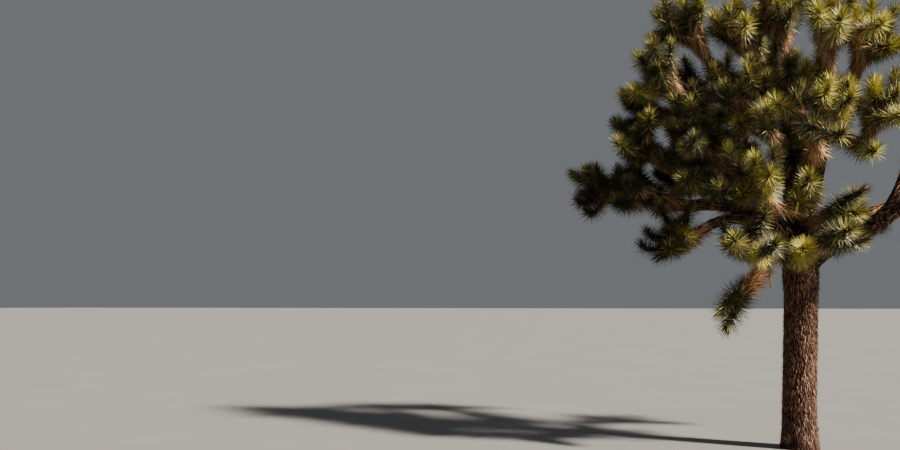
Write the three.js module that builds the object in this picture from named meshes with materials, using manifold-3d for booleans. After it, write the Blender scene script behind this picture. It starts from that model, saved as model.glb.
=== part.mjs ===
// A Joshua tree: a trunk, its forking boughs, and the leafy shoots at their ends.
// Millimetres, +Z up, +X to the viewer's right and +Y away from the viewer.
// The origin is the middle of the flat cut under the trunk, at ground level.

import * as THREE from "three";
import { mergeVertices } from "three/addons/utils/BufferGeometryUtils.js";
import Module from "manifold-3d";

const wasm = await Module();
wasm.setup();

// Trunk
const TRUNK_HEIGHT = 2340;
const TRUNK_LEAN = 82;
const TRUNK_RADIUS = 196;
const ROOT_FLARE = 40;
const FLARE_HEIGHT = 170;
const FORK_SWELL = 18;
const FORK_FROM = 1820;
const DOME_FROM = 2170;
const DOME_TOP_RADIUS = 120;
const TRUNK_SIDES = 14;

// Boughs
const BOUGH_SIDES = 6;
const SLIM_BOUGH = 80;
const SLIM_BOUGH_SIDES = 5;
const BOUGH_STATION_GAP = 380;
const BOUGH_FOLLOWS = 0.6;
const START_HANDLE = 0.4;
const END_HANDLE = 0.35;

// Masses: shoots that fork from one stem, each with a head of leaves round a dense core
const FIRST_FORK = 0.2;
const FORK_STEP = 0.14;
const SHORTER_BY = 110;
const FAN_JITTER = 0.3;
const REACH_JITTER = 0.7;
const SHOOT_SIDES = 5;
const SHOOT_RADIUS = 50;
const SHOOT_FOLLOWS = 0.1;
const HEAD_LENGTH = 600;
const MOST_OF_SHOOT = 0.85;
const CORE_RADIUS = 172;
const CORE_END_SHARE = 0.45;
const HEAD_STATIONS = [0.22, 0.78, 1];

// Leaves, each standing for a spray of the real narrow ones
const LEAVES_PER_HEAD = 5;
const LEAF_LENGTH = 260;
const LEAF_WIDTH = 150;
const LEAF_THICKNESS = 30;
const LEAF_SUNK = 0.35;
const GOLDEN_ANGLE = THREE.MathUtils.degToRad(137.508);
const TILT_AT_FOOT = THREE.MathUtils.degToRad(108);
const TILT_AT_TIP = THREE.MathUtils.degToRad(16);
const LEAF_SAMPLES = [0.45, 0.6, 0.8, 1];
const OWN_SPACE_MARGIN = 7;

// Solids that meet stay this far apart
const CLEARANCE = 0.3;
const UP = new THREE.Vector3(0, 0, 1);

// Each bough: its name, its parent, the share of the parent's length at which it leaves, its tip,
// its radii at root and tip, and its lift, which turns its end up, or down where it is negative
const BOUGHS = [
  ["bough_main", "trunk", 0.93, [350, -100, 3810], [140, 108], 0.3],
  ["bough_centre", "trunk", 0.95, [-70, 170, 4030], [132, 96], 0.2],
  ["bough_right", "trunk", 0.89, [1140, 200, 2910], [132, 108], 0.35],
  ["bough_left", "trunk", 0.92, [-450, -300, 3260], [104, 84], 0.1],
  ["bough_left_rise", "trunk", 0.9, [-520, -60, 2930], [104, 96], -0.1],
  ["bough_back_left", "trunk", 0.93, [-730, 1050, 3320], [98, 68], 0.2],
  ["bough_back_right", "trunk", 0.93, [920, 980, 2980], [88, 62], 0.2],
  ["bough_front_low", "trunk", 0.9, [-280, -480, 2390], [66, 50], -0.2],
  ["bough_left_long", "bough_left_rise", 0.97, [-1610, 60, 3090], [92, 68], 0.1],
  ["bough_left_drop", "bough_left_rise", 0.8, [-1090, -300, 2690], [80, 62], -0.5],
  ["bough_right_up", "bough_right", 0.97, [1460, 350, 3770], [100, 74], 0.3],
  ["bough_right_out", "bough_right", 0.93, [1620, -100, 3040], [96, 70], 0.1],
  ["bough_front", "bough_main", 0.34, [-190, -740, 2940], [72, 54], 0.1],
  ["bough_right_high", "bough_main", 0.96, [870, -170, 3720], [76, 58], -0.1],
  ["bough_right_crown", "bough_main", 0.96, [730, 20, 4400], [92, 64], 0.2],
  ["bough_front_crown", "bough_main", 0.93, [510, -400, 4490], [78, 56], 0.2],
  ["bough_front_high", "bough_main", 0.76, [300, -800, 3600], [70, 54], 0.2],
  ["bough_back", "bough_centre", 0.45, [170, 1080, 3870], [92, 64], 0.3],
  ["bough_centre_front", "bough_centre", 0.7, [-260, -600, 3900], [76, 58], 0.2],
  ["bough_top_left", "bough_centre", 0.94, [-370, 80, 4670], [78, 58], 0.2],
  ["bough_top", "bough_centre", 0.96, [-120, 270, 4820], [82, 60], 0.1],
  ["bough_left_high", "bough_centre", 0.82, [-1160, -230, 4350], [84, 60], 0.1],
  ["bough_back_top", "bough_centre", 0.8, [-330, 800, 4560], [70, 54], 0.2],
  ["bough_left_mid", "bough_left", 0.95, [-910, -380, 3680], [72, 56], 0],
  ["bough_left_upper", "bough_left", 0.95, [-1310, 220, 4160], [78, 60], 0.1],
  ["bough_left_lower", "bough_left", 0.86, [-1540, -160, 3630], [72, 56], 0.2],
  ["bough_top_far_left", "bough_left_high", 0.45, [-870, 60, 4840], [70, 54], 0.4],
];

// Each mass: its name, its bough, the share of the bough's length at which it leaves, its aim, how
// many shoots it has, how far round the aim they end, where the first of them stands in degrees,
// and the lift of its shoots
const MASSES = [
  ["leaves_right_up", "bough_right_up", 1, [1770, 480, 4660], 4, 380, 20, 0.5],
  ["leaves_right_out", "bough_right_out", 1, [2210, -200, 3300], 4, 300, 90, 0.6],
  ["leaves_right_high", "bough_right_high", 1, [1180, -280, 4310], 4, 210, 50, 0.5],
  ["leaves_right_crown", "bough_right_crown", 1, [1170, 50, 5320], 4, 300, 40, 0.5],
  ["leaves_front_crown", "bough_front_crown", 1, [610, -560, 5400], 4, 290, 10, 0.6],
  ["leaves_left_high", "bough_left_high", 1, [-1830, -380, 4960], 5, 270, 20, 0.6],
  ["leaves_top_left", "bough_top_left", 1, [-710, 60, 5610], 3, 260, 40, 0.2],
  ["leaves_top", "bough_top", 1, [-120, 300, 5910], 4, 290, 30, 0.4],
  ["leaves_left_mid", "bough_left_mid", 1, [-1370, -640, 3970], 4, 260, 30, 0.5],
  ["leaves_left_upper", "bough_left_upper", 1, [-2220, 240, 4450], 4, 260, 40, 0.4],
  ["leaves_top_far_left", "bough_top_far_left", 1, [-1550, 0, 5810], 4, 250, 20, 0.2],
  ["leaves_left_lower", "bough_left_lower", 1, [-2090, -240, 3950], 4, 240, 30, 0.4],
  ["leaves_left_long", "bough_left_long", 0.93, [-2850, 0, 3440], 4, 160, 45, 0.25],
  ["leaves_left_back", "bough_left_long", 0.2, [-1660, 800, 3800], 4, 280, 0, 0.5],
  ["leaves_left_arm", "bough_left_long", 0.6, [-2170, -320, 3290], 3, 200, 30, 0.3],
  ["leaves_left_drop", "bough_left_drop", 1, [-1600, -550, 2490], 4, 140, 250, 0],
  ["leaves_low", "bough_front_low", 0.85, [-810, -1050, 1540], 2, 80, 210, -0.3],
  ["leaves_front_low", "bough_front_low", 1, [-560, -1000, 2530], 3, 170, -30, 0.4],
  ["leaves_right_front", "bough_main", 0.12, [770, -700, 2620], 2, 130, 0, 0],
  ["leaves_right_mid", "bough_main", 0.26, [830, -550, 2980], 2, 130, 90, -0.2],
  ["leaves_fork", "trunk", 0.94, [-30, -700, 2520], 2, 160, 0, 0.3],
  ["leaves_main_front", "bough_main", 0.5, [170, -780, 3140], 2, 160, 90, 1],
  ["leaves_front", "bough_front", 1, [-470, -1300, 3310], 3, 240, 30, 0.5],
  ["leaves_front_high", "bough_front_high", 1, [350, -1100, 4150], 4, 250, 0, 0.9],
  ["leaves_left_front", "bough_left_lower", 0.4, [-1010, -1000, 3240], 2, 200, 0, 0.3],
  ["leaves_centre_front", "bough_centre_front", 1, [-480, -900, 4370], 4, 300, 0, 0.9],
  ["leaves_back_left", "bough_back_left", 1, [-1130, 1700, 4180], 4, 450, 0, 0.7],
  ["leaves_back", "bough_back", 1, [340, 1900, 4860], 4, 440, 0, 0.8],
  ["leaves_back_right", "bough_back_right", 1, [2090, 1500, 3420], 4, 420, 0, 0.7],
  ["leaves_back_top", "bough_back_top", 1, [-550, 1300, 5330], 4, 400, 0, 0.7],
  ["leaves_centre", "bough_centre", 0.96, [300, -200, 4760], 3, 250, 70, 0.6],
  ["leaves_top_left_back", "bough_top_far_left", 0.6, [-1460, 700, 4750], 4, 300, 0, 0.5],
];

const vector = (xyz) => new THREE.Vector3(...xyz);

// Numbers from 0 to 1, the same ones on each run
function seeded(seed) {
  let state = seed;
  return () => {
    state = (state * 1664525 + 1013904223) % 4294967296;
    return state / 4294967296;
  };
}

// A curve that leaves its start partly along its parent, and ends turned up by lift
function limbCurve(start, parentDirection, end, lift, follows) {
  const straight = end.clone().sub(start);
  const reach = straight.length();
  straight.normalize();
  const leaving = parentDirection.clone().lerp(straight, 1 - follows).normalize();
  const arriving = straight.clone().addScaledVector(UP, lift).normalize();
  return new THREE.CubicBezierCurve3(
    start.clone(),
    start.clone().addScaledVector(leaving, reach * START_HANDLE),
    end.clone().addScaledVector(arriving, -reach * END_HANDLE),
    end.clone(),
  );
}

// A closed tube round a curve: its radius is a function of the share of the curve passed
function tube(curve, radiusAt, stations, sides, grown = 0) {
  const template = new THREE.CylinderGeometry(1, 1, 1, sides, stations.length - 1);
  template.deleteAttribute("normal");
  template.deleteAttribute("uv");
  const geometry = mergeVertices(template);
  const centres = stations.map((t) => curve.getPoint(t));
  const tangents = stations.map((t) => curve.getTangent(t));
  const last = stations.length - 1;
  centres[0].addScaledVector(tangents[0], -grown);
  centres[last].addScaledVector(tangents[last], grown);
  const across = [new THREE.Vector3(0, 1, 0).projectOnPlane(tangents[0]).normalize()];
  for (const tangent of tangents.slice(1)) {
    across.push(across.at(-1).clone().projectOnPlane(tangent).normalize());
  }
  const position = geometry.getAttribute("position");
  for (let i = 0; i < position.count; i++) {
    const ring = Math.round((position.getY(i) + 0.5) * last);
    const radius = radiusAt(stations[ring]) + grown;
    const other = tangents[ring].clone().cross(across[ring]);
    const point = centres[ring].clone();
    point.addScaledVector(across[ring], position.getX(i) * radius);
    point.addScaledVector(other, -position.getZ(i) * radius);
    position.setXYZ(i, point.x, point.y, point.z);
  }
  return solidOf(geometry);
}

function solidOf(geometry) {
  return new wasm.Manifold(
    new wasm.Mesh({
      numProp: 3,
      vertProperties: new Float32Array(geometry.getAttribute("position").array),
      triVerts: new Uint32Array(geometry.index.array),
    }),
  );
}

function evenStations(count) {
  return Array.from({ length: count + 1 }, (_, i) => i / count);
}

// A limb keeps its curve, for what grows on it, and a grown copy, for cutting its neighbours clear
function makeLimb(name, curve, radiusAt, stations, sides) {
  return {
    name,
    curve,
    radiusAt,
    solid: tube(curve, radiusAt, stations, sides),
    grown: tube(curve, radiusAt, stations, sides, CLEARANCE),
    line: evenStations(12).map((t) => ({ point: curve.getPoint(t), radius: radiusAt(t) })),
  };
}

function trunkRadius(share) {
  const z = share * TRUNK_HEIGHT;
  const flare = ROOT_FLARE * Math.exp(-z / FLARE_HEIGHT);
  const swell = FORK_SWELL * THREE.MathUtils.smoothstep(z, FORK_FROM, DOME_FROM);
  const full = TRUNK_RADIUS + flare + swell;
  const dome = THREE.MathUtils.clamp((z - DOME_FROM) / (TRUNK_HEIGHT - DOME_FROM), 0, 1);
  return DOME_TOP_RADIUS + (full - DOME_TOP_RADIUS) * Math.sqrt(1 - dome * dome);
}

function makeTrunk() {
  const foot = new THREE.Vector3(0, 0, 0);
  const top = new THREE.Vector3(TRUNK_LEAN, 0, TRUNK_HEIGHT);
  const curve = new THREE.CubicBezierCurve3(
    foot,
    new THREE.Vector3(0, 0, TRUNK_HEIGHT / 3),
    new THREE.Vector3(TRUNK_LEAN, 0, (TRUNK_HEIGHT * 2) / 3),
    top,
  );
  const stations = [0, 0.04, 0.1, 0.2, 0.35, 0.5, 0.65, 0.78, 0.86, 0.93, 0.97, 1];
  return makeLimb("trunk", curve, trunkRadius, stations, TRUNK_SIDES);
}

function makeBough([name, from, at, tip, radii, lift], limbs) {
  const parent = limbs.get(from).curve;
  const curve = limbCurve(parent.getPoint(at), parent.getTangent(at), vector(tip), lift, BOUGH_FOLLOWS);
  const count = Math.max(3, Math.round(curve.getLength() / BOUGH_STATION_GAP));
  const sides = radii[0] < SLIM_BOUGH ? SLIM_BOUGH_SIDES : BOUGH_SIDES;
  return makeLimb(name, curve, (t) => radii[0] + (radii[1] - radii[0]) * t, evenStations(count), sides);
}

// The first shoot of a mass runs on from its bough, and the others fork from it, each shorter than
// the one before
function massShoots([, from, at, aimPoint, count, spread, turn, lift], limbs, random) {
  const parent = limbs.get(from).curve;
  const aim = vector(aimPoint);
  const axis = aim.clone().sub(parent.getPoint(at)).normalize();
  const side = new THREE.Vector3().crossVectors(axis, UP).normalize();
  const above = new THREE.Vector3().crossVectors(side, axis);
  const shoots = [];
  for (let i = 0; i < count; i++) {
    const angle = THREE.MathUtils.degToRad(turn) + (Math.PI * 2 * (i + FAN_JITTER * random())) / count;
    const tip = aim.clone();
    tip.addScaledVector(side, Math.cos(angle) * spread);
    tip.addScaledVector(above, Math.sin(angle) * spread);
    tip.addScaledVector(axis, (random() - 0.5) * spread * REACH_JITTER - i * SHORTER_BY);
    const [source, share] = i ? [shoots[0], FIRST_FORK + FORK_STEP * (i - 1)] : [parent, at];
    shoots.push(limbCurve(source.getPoint(share), source.getTangent(share), tip, lift, SHOOT_FOLLOWS));
  }
  return shoots;
}

// The share of a shoot at which its head of leaves starts
const headStart = (shoot) => 1 - Math.min(HEAD_LENGTH / shoot.getLength(), MOST_OF_SHOOT);

// A shoot is slim up to its head, where it swells into the dense core
function shootRadius(start, share) {
  const along = THREE.MathUtils.clamp((share - start) / (1 - start), 0, 1);
  const bulge = Math.sqrt(Math.max(0, 1 - (2 * along - 1) ** 2));
  const least = along > 0.5 ? CORE_RADIUS * CORE_END_SHARE : SHOOT_RADIUS;
  return Math.max(least, CORE_RADIUS * bulge);
}

function shootTube(shoot, grown) {
  const start = headStart(shoot);
  const stations = [0, ...HEAD_STATIONS.map((h) => start + (1 - start) * h)];
  return tube(shoot, (t) => shootRadius(start, t), stations, SHOOT_SIDES, grown);
}

// A keeled blade, sunk in the core, that narrows to the leaf's tip
function leafSolid({ root, direction, across, length }) {
  const blade = new THREE.ConeGeometry(1, 1, 3);
  blade.deleteAttribute("normal");
  blade.deleteAttribute("uv");
  const geometry = mergeVertices(blade);
  const sunk = length * LEAF_SUNK;
  geometry.scale(LEAF_WIDTH / Math.sqrt(3), length - sunk, LEAF_THICKNESS / 1.5);
  geometry.translate(0, (length + sunk) / 2, 0);
  const keel = across.clone().cross(direction);
  geometry.applyMatrix4(new THREE.Matrix4().makeBasis(across, direction, keel).setPosition(root));
  return solidOf(geometry);
}

// Leaves stand round a head on a spiral, leaning back at its foot and forward at its tip
function headLeaves(shoot, random) {
  const start = headStart(shoot);
  const leaves = [];
  const first = random() * Math.PI * 2;
  for (let i = 0; i < LEAVES_PER_HEAD; i++) {
    const along = (i + 0.6) / LEAVES_PER_HEAD;
    const share = start + (1 - start) * (0.16 + 0.74 * along);
    const axis = shoot.getTangent(share);
    const side = new THREE.Vector3().crossVectors(axis, UP).normalize();
    const above = new THREE.Vector3().crossVectors(side, axis);
    const turn = first + i * GOLDEN_ANGLE;
    const out = side.multiplyScalar(Math.cos(turn)).addScaledVector(above, Math.sin(turn));
    const tilt = THREE.MathUtils.lerp(TILT_AT_FOOT, TILT_AT_TIP, along ** 1.3);
    const direction = axis.clone().multiplyScalar(Math.cos(tilt)).addScaledVector(out, Math.sin(tilt));
    leaves.push({
      root: shoot.getPoint(share),
      direction,
      across: axis.cross(out).normalize(),
      length: LEAF_LENGTH * (0.9 + 0.2 * random()),
    });
  }
  return leaves;
}

const distanceLine = new THREE.Line3();
const nearest = new THREE.Vector3();

// The distance from a point to a line of stations, less their radius
function clearOf(point, line) {
  let least = Infinity;
  for (let i = 1; i < line.length; i++) {
    distanceLine.set(line[i - 1].point, line[i].point);
    const share = distanceLine.closestPointToPointParameter(point, true);
    distanceLine.at(share, nearest);
    const radius = THREE.MathUtils.lerp(line[i - 1].radius, line[i].radius, share);
    least = Math.min(least, nearest.distanceTo(point) - radius);
  }
  return least;
}

const thinLine = (curve) => evenStations(6).map((t) => ({ point: curve.getPoint(t), radius: 0 }));

// A leaf whose tip stays in a core of its own mass would not show
function hidden(leaf, mass) {
  const tip = leaf.root.clone().addScaledVector(leaf.direction, leaf.length);
  return mass.lines.some((line) => clearOf(tip, line) < CORE_RADIUS);
}

// A leaf keeps to its own mass: each point of it is nearer its own shoots than any others,
// and clear of the limbs
function inOwnSpace(leaf, mass, masses, limbs) {
  return LEAF_SAMPLES.every((share) => {
    const point = leaf.root.clone().addScaledVector(leaf.direction, leaf.length * share);
    const halfWidth = (LEAF_WIDTH / 2) * ((1 - share) / (1 - LEAF_SUNK));
    const own = Math.min(...mass.lines.map((line) => clearOf(point, line)));
    const room = halfWidth + OWN_SPACE_MARGIN;
    return (
      masses.every(
        (other) => other === mass || other.lines.every((line) => clearOf(point, line) > own + 2 * room),
      ) && limbs.every((limb) => clearOf(point, limb.line) > room)
    );
  });
}

function touches(a, b) {
  const [p, q] = [a.boundingBox(), b.boundingBox()];
  return [0, 1, 2].every((k) => p.min[k] < q.max[k] && q.min[k] < p.max[k]);
}

function largestPiece(solid) {
  return solid.decompose().reduce((best, piece) => (piece.volume() > best.volume() ? piece : best));
}

function cutClear(solid, cutters) {
  let left = solid;
  for (const cutter of cutters) {
    if (touches(left, cutter)) left = left.subtract(cutter);
  }
  return largestPiece(left);
}

function meshOf(name, solid, material) {
  const { vertProperties, triVerts } = solid.getMesh();
  const geometry = new THREE.BufferGeometry();
  geometry.setAttribute("position", new THREE.BufferAttribute(vertProperties, 3));
  geometry.setIndex(new THREE.BufferAttribute(triVerts, 1));
  geometry.computeVertexNormals();
  const mesh = new THREE.Mesh(geometry, material);
  mesh.name = name;
  return mesh;
}

const bark = new THREE.MeshStandardMaterial({ color: 0x7a5a45, roughness: 0.95, metalness: 0 });
const leaf = new THREE.MeshStandardMaterial({ color: 0x7c8238, roughness: 0.6, metalness: 0 });
const tree = new THREE.Group();

// Each limb is cut clear of those made before it
const limbs = new Map([["trunk", makeTrunk()]]);
for (const row of BOUGHS) {
  limbs.set(row[0], makeBough(row, limbs));
}
const madeLimbs = [...limbs.values()];
madeLimbs.forEach((limb, i) => {
  const solid = cutClear(limb.solid, madeLimbs.slice(0, i).map((other) => other.grown));
  tree.add(meshOf(limb.name, solid, bark));
});

const masses = MASSES.map((row, i) => {
  const random = seeded(i + 1);
  const shoots = massShoots(row, limbs, random);
  const leaves = shoots.flatMap((shoot) => headLeaves(shoot, random));
  return { name: row[0], shoots, lines: shoots.map(thinLine), leaves };
});

// A mass is fused from its stem, its shoots and the leaves that keep to its own space
const cutters = madeLimbs.map((limb) => limb.grown);
for (const mass of masses) {
  const woody = (grown) => wasm.Manifold.union(mass.shoots.map((shoot) => shootTube(shoot, grown)));
  const shown = mass.leaves.filter((one) => !hidden(one, mass));
  const blades = shown.filter((one) => inOwnSpace(one, mass, masses, madeLimbs)).map(leafSolid);
  const whole = wasm.Manifold.union([woody(0), ...blades]);
  tree.add(meshOf(mass.name, cutClear(whole, cutters), leaf));
  cutters.push(woody(CLEARANCE));
}

export default tree;
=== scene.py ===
"""A Joshua tree in a studio: bark with its relief, forking boughs and brush-like heads of leaves."""

import math

import bpy
import numpy as np
from mathutils import Euler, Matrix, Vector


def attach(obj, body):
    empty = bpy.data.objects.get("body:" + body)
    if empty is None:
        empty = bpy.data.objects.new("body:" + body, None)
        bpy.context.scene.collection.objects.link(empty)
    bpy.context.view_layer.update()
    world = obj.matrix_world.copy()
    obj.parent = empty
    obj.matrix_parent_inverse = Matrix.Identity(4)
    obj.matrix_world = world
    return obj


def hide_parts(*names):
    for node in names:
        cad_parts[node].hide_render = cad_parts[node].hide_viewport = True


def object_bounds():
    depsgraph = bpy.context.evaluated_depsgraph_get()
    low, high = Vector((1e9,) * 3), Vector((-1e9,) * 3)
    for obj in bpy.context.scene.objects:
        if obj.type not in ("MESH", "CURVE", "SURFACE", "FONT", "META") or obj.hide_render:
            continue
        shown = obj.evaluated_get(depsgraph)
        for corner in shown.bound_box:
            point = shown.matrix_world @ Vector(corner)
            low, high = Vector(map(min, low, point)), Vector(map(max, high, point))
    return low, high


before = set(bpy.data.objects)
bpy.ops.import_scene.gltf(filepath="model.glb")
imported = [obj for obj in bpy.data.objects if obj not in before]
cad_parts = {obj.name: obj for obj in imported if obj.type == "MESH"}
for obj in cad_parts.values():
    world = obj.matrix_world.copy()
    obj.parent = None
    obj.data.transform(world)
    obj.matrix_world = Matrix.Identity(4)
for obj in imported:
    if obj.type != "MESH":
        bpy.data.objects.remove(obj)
cad_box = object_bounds()

# The photo's camera: its distance, its eye height, and how far it turns from the trunk's foot
CAMERA_DISTANCE = 11.83
EYE_HEIGHT = 1.75
CAMERA_LENS = 35.2
SENSOR_WIDTH = 36.0
CAMERA_YAW = math.radians(21.32)
CAMERA_PITCH = math.radians(5.2)

# Trunk
TRUNK_HEIGHT = 2.34
TRUNK_LEAN = 0.082
TRUNK_RADIUS = 0.196
ROOT_FLARE = 0.04
FLARE_HEIGHT = 0.17
FORK_SWELL = 0.018
FORK_FROM = 1.82
DOME_FROM = 2.17
DOME_TOP_RADIUS = 0.12

# Limbs: how far they leave along their parent, and their handles' shares of their reach
BOUGH_FOLLOWS = 0.6
SHOOT_FOLLOWS = 0.1
START_HANDLE = 0.4
END_HANDLE = 0.35
LENGTH_SAMPLES = 201

# Shoots of a mass: where they fork from the first one, how much shorter each is, how they vary
FIRST_FORK = 0.2
FORK_STEP = 0.14
SHORTER_BY = 0.11
FAN_JITTER = 0.3
REACH_JITTER = 0.7
SHOOT_RADIUS = 0.05
SHOOT_TIP_RADIUS = 0.03

# Side shoots on the shoots and on some boughs: where they grow, and how long and upright they are
SIDE_SHOOT_FROM = 0.26
SIDE_SHOOT_TO = 0.68
SIDE_SHOOT_GAP = 0.17
BOUGH_SHOOT_TO = 0.97
BOUGH_SHOOT_GAP = 0.16
SIDE_SHOOT_PLACE = (0.2, 0.8)
SIDE_SHOOT_LENGTH = 0.42
SIDE_SHOOT_VARIES = (0.85, 1.1)
SIDE_SHOOT_SPREAD = math.radians(36)
SIDE_SHOOT_LIFT = 1.6
SIDE_SHOOT_TAPER = 0.8
LEAST_SHOOTS_TO_BRANCH = 3

# How a side shoot finds its place: turns tried, room for its head, worth of height, margin in the box
SIDE_SHOOT_TRIES = 12
SIDE_SHOOT_ROOM = 0.17
SIDE_SHOOT_RISE = 0.35
SIDE_SHOOT_INSET = 0.09

# Shares of a shoot at which its own head takes up room
HEAD_PLACES = (1.0, 0.7)

# Heads of the shoots and of the side shoots: length, live leaves, dry leaves, size of the live leaves
SHOOT_HEAD = (0.58, 360, 280, 1)
SIDE_SHOOT_HEAD = (0.34, 210, 100, 0.88)

# The most of a shoot that its head takes
MOST_OF_SHOOT = 0.85

# Leaves: the turn from one to the next, their size and keel, and how deep in the limb they root
GOLDEN_ANGLE = math.radians(137.508)
LEAF_LENGTH = 0.178
LEAF_WIDTH = 0.0145
LEAF_KEEL = 0.3
LEAF_ROOT = 0.7
MOST_LEAVES_A_PIECE = 48000

# Live leaves: where on the head they start, and how their lean in degrees and their size change
LIVE_FROM = 0.12
LIVE_CROWDING = 0.85
FOOT_LEAN = 112
LEAN_LOST = 50
TIP_LEAN_LOST = 52
TIP_LEAN_ONSET = 6
LIVE_LEAN_VARIES = 7
FOOT_LENGTH = 1.05
TIP_LENGTH_LOST = 0.2
TIP_LENGTH_ONSET = 5
LIVE_LENGTH_VARIES = (0.8, 1.12)
LIVE_WIDTH_VARIES = (0.85, 1.15)

# Live leaves that end inside a limb are left out: places tested on the leaf and the limb, and how deep
TESTED_REACHES = (0.7, 1.0)
TESTED_STATIONS = 9
TESTED_RADIUS = 0.9

# Dry leaves: how their lean changes outwards, how they vary, and how far they hang
DRY_LEAN_ONSET = 1.5
DRY_LEAN_VARIES = 9
DRY_WIDTH_VARIES = (0.6, 1.0)
DRY_HANG = 0.3

# Skirt of dry leaves under a head: its length, its part of the head, its leaves' length and lean
SKIRT_LENGTH = 0.26
SKIRT_IN_HEAD = 0.22
SKIRT_LEAF_LENGTH = (0.13, 0.2)
SKIRT_LEAN = (156, 112)

# Thatch of dry leaves along shoots and boughs: where it runs, how dense, its leaves' length and lean
THATCH_FROM = 0.02
THATCH_AT_LEAST_TO = 0.05
THATCH_TO = 0.99
THATCH_PER_METRE = 380
SHOOT_THATCH_LENGTH = (0.14, 0.24)
BOUGH_THATCH_LENGTH = (0.13, 0.25)
THATCH_LEAN = (164, 134)

# The dead stalk under the fork: its ends and radii, and its leaves
STALK_ENDS = ((-0.29, -0.48, 2.38), (-0.25, -0.56, 1.93))
STALK_RADII = (0.016, 0.006)
STALK_LEAVES = 220
STALK_LEAVES_FROM = 0.2
STALK_LEAF_LENGTH = (0.05, 0.1)
STALK_LEAF_LEAN = (150, 170)

# Tubes: points round each one, and rows along it
TRUNK_COLUMNS = 200
TRUNK_ROWS = 300
BOUGH_COLUMNS = 34
BOUGH_ROW_GAP = 0.022
LEAST_BOUGH_ROWS = 12
SHOOT_COLUMNS = 9
SHOOT_ROWS = 8

# Reliefs: width and length of a plate, and depth
TRUNK_RELIEF = (0.021, 0.075, 0.012)
BOUGH_RELIEF = (0.026, 0.06, 0.008)
NO_RELIEF = (1, 1, 0)

# The bark's pattern, counted in plates: its warp, its cracks, and what makes its plates uneven
BARK_APART = 7
WARP_NOISE = 0.7
WARP = (0.9, 0.9, 0.5)
CRACK_EDGE = 0.42
PLATE_HEIGHT = 0.45
PLATE_LEVEL = 0.3
PLATE_SWELL = 0.15
SWELL_NOISE = 0.25
FIBRE_HEIGHT = 0.16
FIBRE_NOISE = (4.5, 4.5, 0.8)
HEIGHT_AT_RADIUS = 0.6

# Scales on the trunk: their number, size and place, share that points up, turn and lean off the bark
TRUNK_SCALES = 7000
SCALE_LENGTH = (0.04, 0.085)
SCALE_WIDTH = (0.008, 0.016)
SCALE_PLACE = (0.01, 0.94)
SCALES_POINTING_UP = 0.25
SCALE_TURN_VARIES = 14
SCALE_DEPTH = 0.006
SCALE_LEAN = (0.1, 0.34)

# name, parent, share of the parent, tip, root and tip radius, lift
BOUGHS = [
    ("bough_main", "trunk", 0.93, (0.35, -0.1, 3.81), (0.14, 0.108), 0.3),
    ("bough_centre", "trunk", 0.95, (-0.07, 0.17, 4.03), (0.132, 0.096), 0.2),
    ("bough_right", "trunk", 0.89, (1.14, 0.2, 2.91), (0.132, 0.108), 0.35),
    ("bough_left", "trunk", 0.92, (-0.45, -0.3, 3.26), (0.104, 0.084), 0.1),
    ("bough_left_rise", "trunk", 0.9, (-0.52, -0.06, 2.93), (0.104, 0.096), -0.1),
    ("bough_back_left", "trunk", 0.93, (-0.73, 1.05, 3.32), (0.098, 0.068), 0.2),
    ("bough_back_right", "trunk", 0.93, (0.92, 0.98, 2.98), (0.088, 0.062), 0.2),
    ("bough_front_low", "trunk", 0.9, (-0.28, -0.48, 2.39), (0.066, 0.05), -0.2),
    ("bough_left_long", "bough_left_rise", 0.97, (-1.61, 0.06, 3.09), (0.092, 0.068), 0.1),
    ("bough_left_drop", "bough_left_rise", 0.8, (-1.09, -0.3, 2.69), (0.08, 0.062), -0.5),
    ("bough_right_up", "bough_right", 0.97, (1.46, 0.35, 3.77), (0.1, 0.074), 0.3),
    ("bough_right_out", "bough_right", 0.93, (1.62, -0.1, 3.04), (0.096, 0.07), 0.1),
    ("bough_front", "bough_main", 0.34, (-0.19, -0.74, 2.94), (0.072, 0.054), 0.1),
    ("bough_right_high", "bough_main", 0.96, (0.87, -0.17, 3.72), (0.076, 0.058), -0.1),
    ("bough_right_crown", "bough_main", 0.96, (0.73, 0.02, 4.4), (0.092, 0.064), 0.2),
    ("bough_front_crown", "bough_main", 0.93, (0.51, -0.4, 4.49), (0.078, 0.056), 0.2),
    ("bough_front_high", "bough_main", 0.76, (0.3, -0.8, 3.6), (0.07, 0.054), 0.2),
    ("bough_back", "bough_centre", 0.45, (0.17, 1.08, 3.87), (0.092, 0.064), 0.3),
    ("bough_centre_front", "bough_centre", 0.7, (-0.26, -0.6, 3.9), (0.076, 0.058), 0.2),
    ("bough_top_left", "bough_centre", 0.94, (-0.37, 0.08, 4.67), (0.078, 0.058), 0.2),
    ("bough_top", "bough_centre", 0.96, (-0.12, 0.27, 4.82), (0.082, 0.06), 0.1),
    ("bough_left_high", "bough_centre", 0.82, (-1.16, -0.23, 4.35), (0.084, 0.06), 0.1),
    ("bough_back_top", "bough_centre", 0.8, (-0.33, 0.8, 4.56), (0.07, 0.054), 0.2),
    ("bough_left_mid", "bough_left", 0.95, (-0.91, -0.38, 3.68), (0.072, 0.056), 0),
    ("bough_left_upper", "bough_left", 0.95, (-1.31, 0.22, 4.16), (0.078, 0.06), 0.1),
    ("bough_left_lower", "bough_left", 0.86, (-1.54, -0.16, 3.63), (0.072, 0.056), 0.2),
    ("bough_top_far_left", "bough_left_high", 0.45, (-0.87, 0.06, 4.84), (0.07, 0.054), 0.4),
]

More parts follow.
